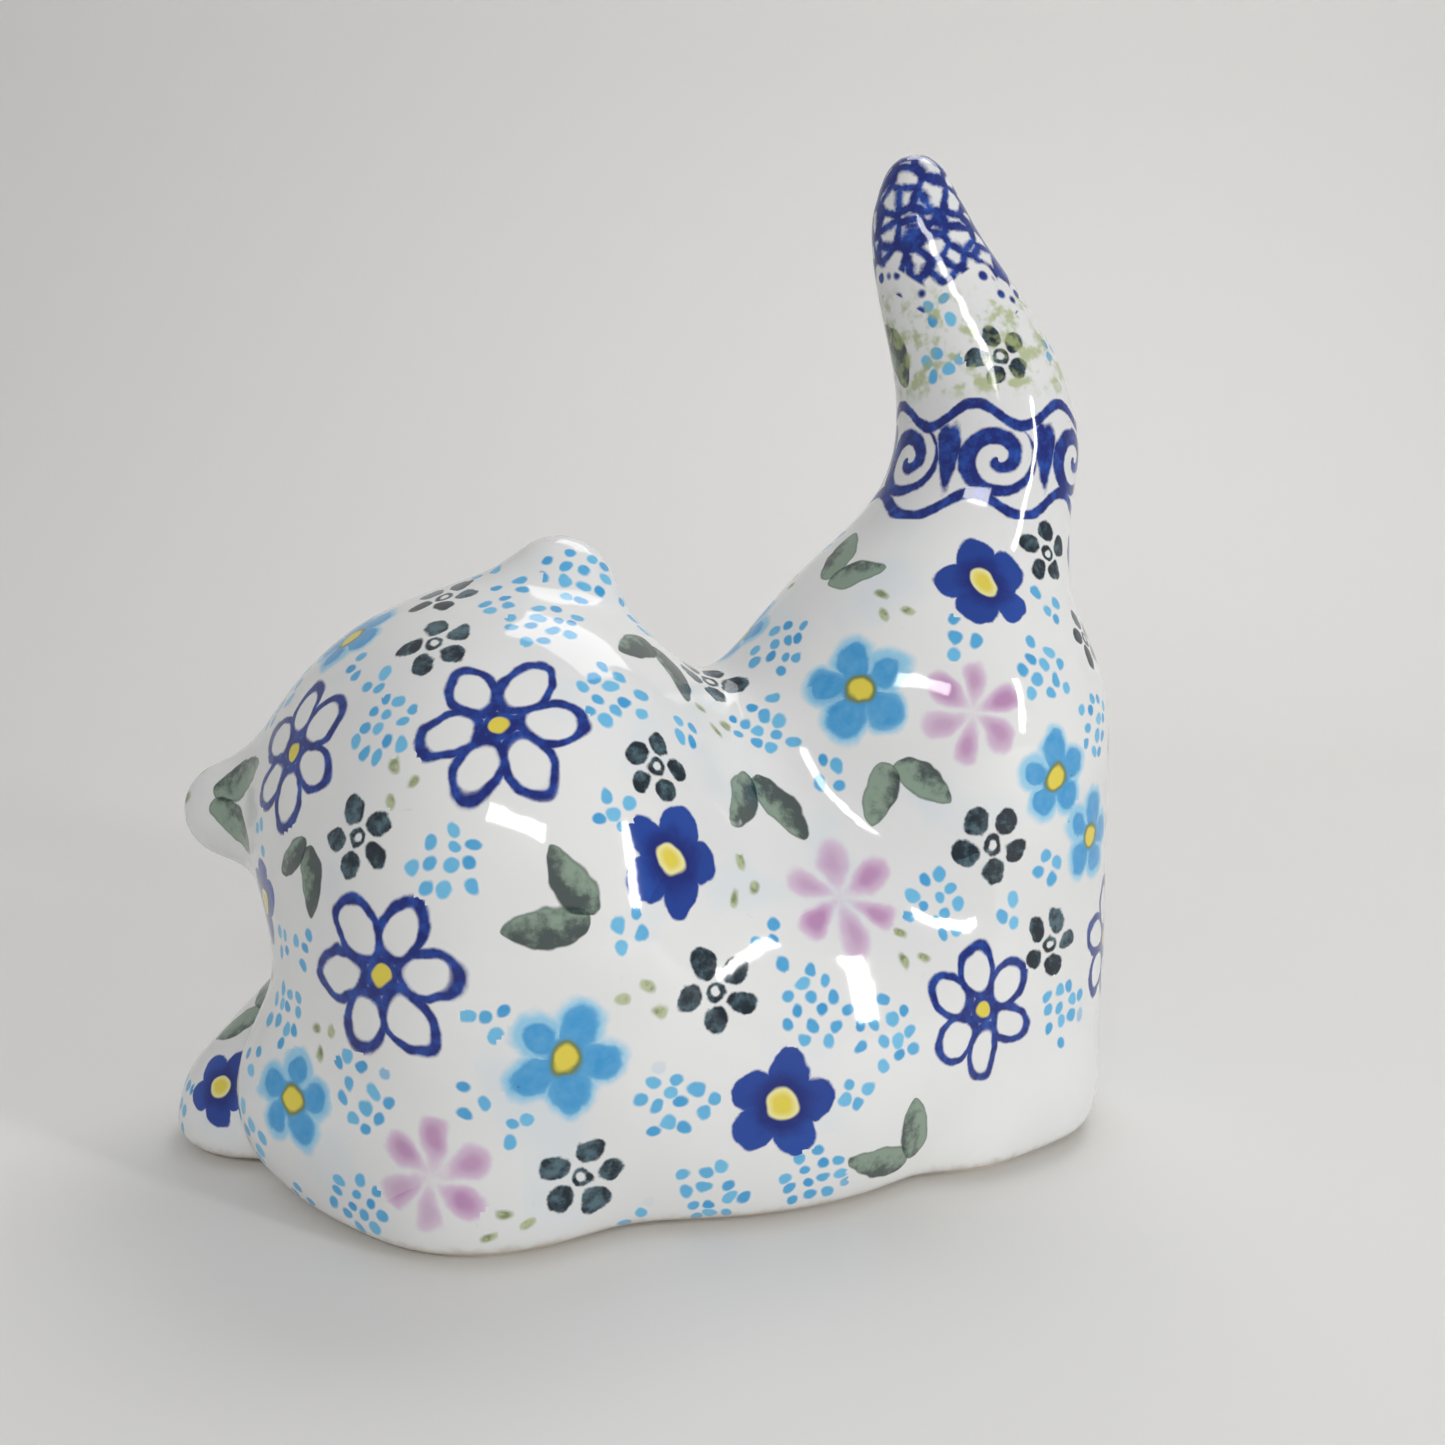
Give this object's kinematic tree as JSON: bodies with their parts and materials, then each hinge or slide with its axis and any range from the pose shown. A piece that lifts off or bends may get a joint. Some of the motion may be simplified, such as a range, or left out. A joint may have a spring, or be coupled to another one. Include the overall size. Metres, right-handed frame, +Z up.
{
  "type": "ceramic cat figurine",
  "caption": "Hollow glazed stoneware kitten crouching on its forelegs with its rump and upright tail raised, hand-painted all over with small folk flowers and leaves, standing on a flat base.",
  "frame": {"origin": "centre of the figure's bounding box in plan, on the table surface under the flat base pad", "axes": "+Z up; +X from the forepaws to the tail; +Y from the back of the turned head to its face, so the picture looks along +Y at the kitten's back"},
  "size_m": [0.1014, 0.0632, 0.1033],
  "materials": {
    "glaze": "clear gloss glaze over painted white stoneware",
    "bare_clay": "unglazed, matte"
  },
  "bodies": {
    "root": {"base_pad": "bare_clay", "chest": "glaze", "haunches": "glaze", "tail": "glaze", "head": "glaze", "near_ear": "glaze", "far_ear": "glaze", "muzzle": "glaze", "near_forepaw": "glaze", "far_forepaw": "glaze", "near_hind_foot": "glaze", "far_hind_foot": "glaze"}
  },
  "joints": []
}
